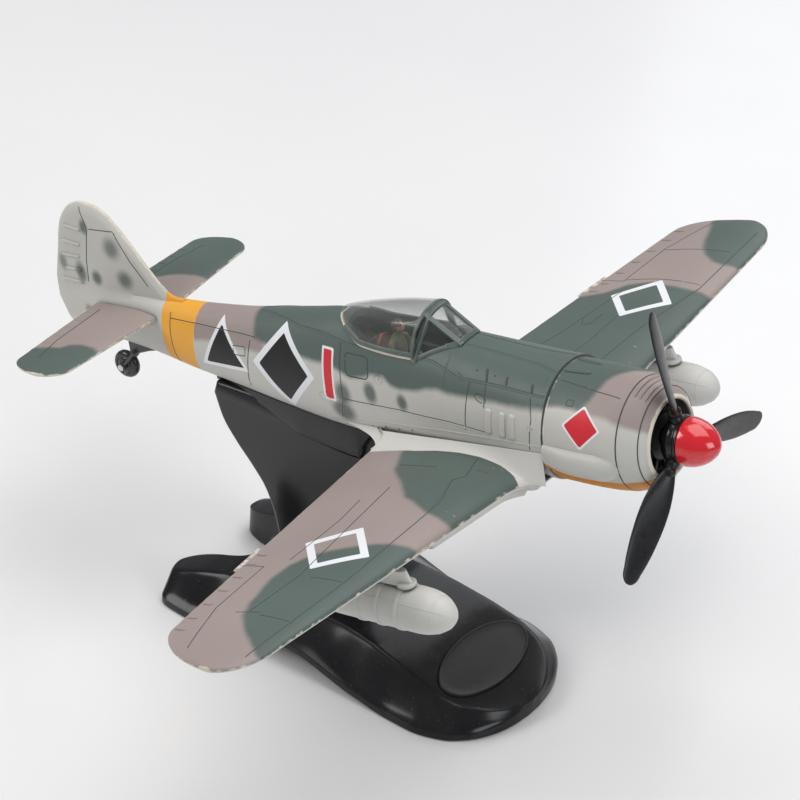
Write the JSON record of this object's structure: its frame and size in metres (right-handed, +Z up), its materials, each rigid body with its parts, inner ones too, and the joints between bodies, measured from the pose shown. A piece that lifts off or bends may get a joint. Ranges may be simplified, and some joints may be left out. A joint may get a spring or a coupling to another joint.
{
  "type": "propeller plane display model",
  "caption": "Moulded display model of a single-engined low-wing propeller aircraft, held nose-up on a forked black stand with a curved arm and a cradle under the belly.",
  "frame": {"origin": "on the table plane, on the centre line, midway between the nose and the tail of the displayed aircraft", "axes": "+X towards the aircraft's nose, +Y to port, +Z up"},
  "size_m": [0.1834, 0.2186, 0.125],
  "materials": {
    "fuselage_paint": "satin paint",
    "cowl_paint": "satin paint",
    "wing_paint": "satin paint",
    "underside_paint": "satin paint",
    "engine_black": "satin",
    "spinner_red": "gloss",
    "prop_black": "satin",
    "steel": "brushed",
    "cockpit_grey": "matte",
    "seat_brown": "matte",
    "pilot_olive": "matte",
    "clear": "clear",
    "strut_black": "satin",
    "tyre": "matte",
    "stand_gloss": "gloss",
    "plate_black": "satin"
  },
  "bodies": {
    "stand": {"stand_base": "stand_gloss", "stand_arm": "stand_gloss", "arm_screws": "steel", "name_plate": "plate_black"},
    "airframe": {"fuselage_left": "fuselage_paint", "fuselage_right": "fuselage_paint", "engine_cowling": "cowl_paint", "engine_core": "engine_black", "cooling_fan": "engine_black", "cockpit_tub": "cockpit_grey", "pilot_seat": "seat_brown", "pilot_figure": "pilot_olive", "instrument_panel": "cockpit_grey", "windscreen": "clear", "canopy_hood": "clear", "wing_lower": "underside_paint", "wing_upper_left": "wing_paint", "wing_upper_right": "wing_paint", "wing_screws": "steel", "gear_door_left": "underside_paint", "gear_door_right": "underside_paint", "tailplane_left": "wing_paint", "tailplane_right": "wing_paint", "tail_wheel_strut": "strut_black", "tail_wheel_axle": "steel", "pylon_left": "underside_paint", "pylon_right": "underside_paint", "drop_tank_left": "underside_paint", "drop_tank_right": "underside_paint"},
    "propeller": {"spinner_cap": "spinner_red", "propeller": "prop_black", "prop_shaft": "steel", "shaft_clip": "steel"},
    "tail_wheel": {"tail_wheel": "tyre"}
  },
  "joints": [
    {"name": "lift_off", "type": "slide", "parent": "stand", "child": "airframe", "axis": [-0.2295, 0, 0.9733], "range_m": [0, 0.015]},
    {"name": "propeller_spin", "type": "hinge", "parent": "airframe", "child": "propeller", "pos_m": [0.0917, 0, 0.0947], "axis": [0.9733, 0, 0.2295], "continuous": true},
    {"name": "tail_wheel_roll", "type": "hinge", "parent": "airframe", "child": "tail_wheel", "pos_m": [-0.06976, 0, 0.04481], "axis": [0, 1, 0], "continuous": true}
  ]
}
